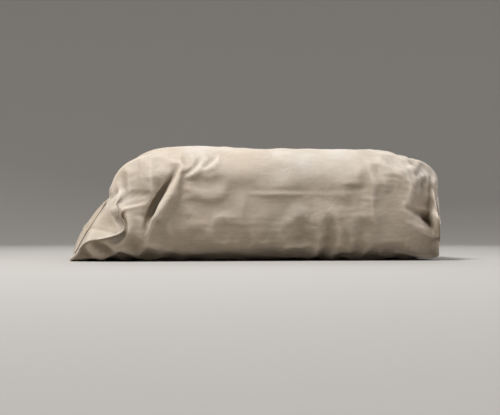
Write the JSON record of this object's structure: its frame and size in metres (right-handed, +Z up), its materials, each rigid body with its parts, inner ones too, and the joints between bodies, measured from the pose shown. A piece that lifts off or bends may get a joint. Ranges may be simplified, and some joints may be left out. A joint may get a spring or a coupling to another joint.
{
  "type": "cement bag",
  "caption": "Filled kraft-paper cement sack with pasted block ends, lying on its broad face, one end slack and leaning back, ready to stack on a pallet.",
  "frame": {"origin": "middle of the sack's footprint, on the floor it lies on", "axes": "+X along the sack from its slack, leaning end to its upright valve end; +Y across it, away from the side the picture shows; +Z up, through its thickness"},
  "size_m": [0.6001, 0.4076, 0.182],
  "materials": {
    "kraft_paper": "matte",
    "patch_paper": "matte",
    "sleeve_paper": "matte",
    "cement_powder": "matte"
  },
  "bodies": {
    "root": {"paper_sack": "kraft_paper", "cement_fill": "cement_powder", "end_patch_left": "patch_paper", "end_patch_right": "patch_paper", "valve_sleeve": "sleeve_paper"}
  },
  "joints": []
}
